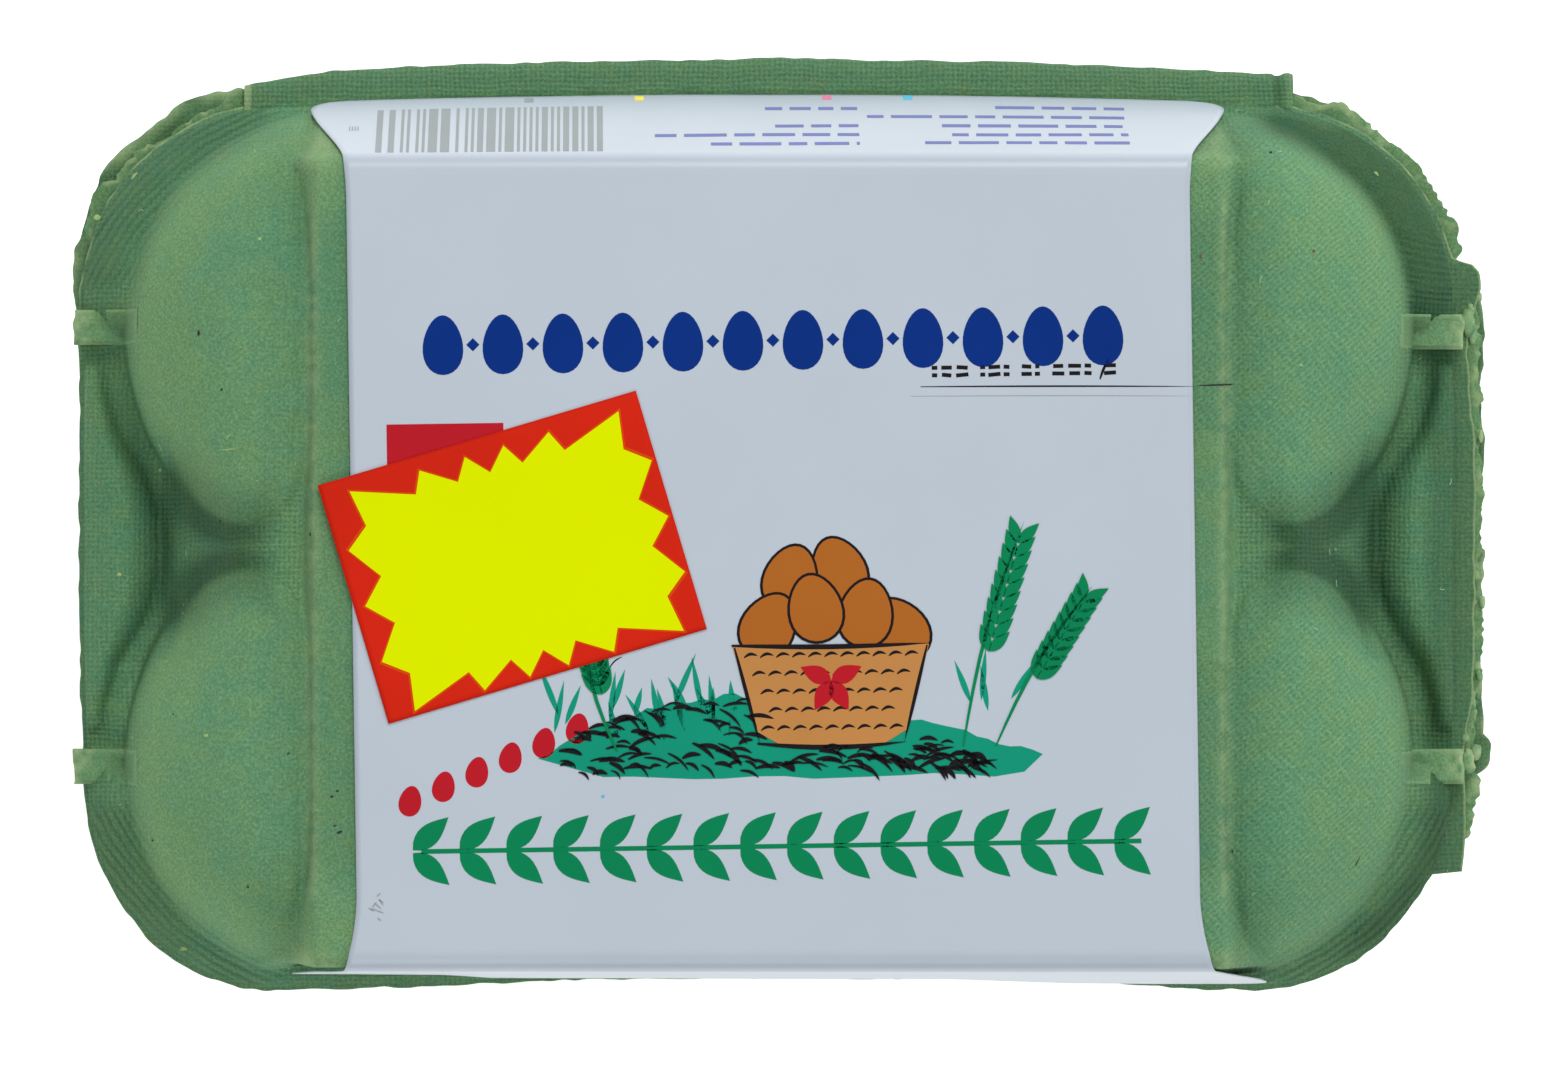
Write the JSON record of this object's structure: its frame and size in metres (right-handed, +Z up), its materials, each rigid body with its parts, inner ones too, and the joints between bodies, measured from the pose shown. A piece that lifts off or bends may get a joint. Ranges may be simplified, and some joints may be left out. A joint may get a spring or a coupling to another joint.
{
  "type": "egg carton with eggs",
  "caption": "Shut moulded-pulp egg box with domed lid ends, cupped tray, a paper label over the lid and a price sticker, holding eggs out of sight.",
  "frame": {"origin": "on the surface the box stands on, below the middle of its outline", "axes": "+X along the length, +Y towards the hinge at the back, +Z up"},
  "size_m": [0.1546, 0.1016, 0.0692],
  "materials": {
    "green_pulp": "matte",
    "label_paper": "satin",
    "sticker_paper": "satin"
  },
  "bodies": {
    "root": {"carton": "green_pulp", "label": "label_paper", "price_sticker": "sticker_paper"}
  },
  "joints": []
}
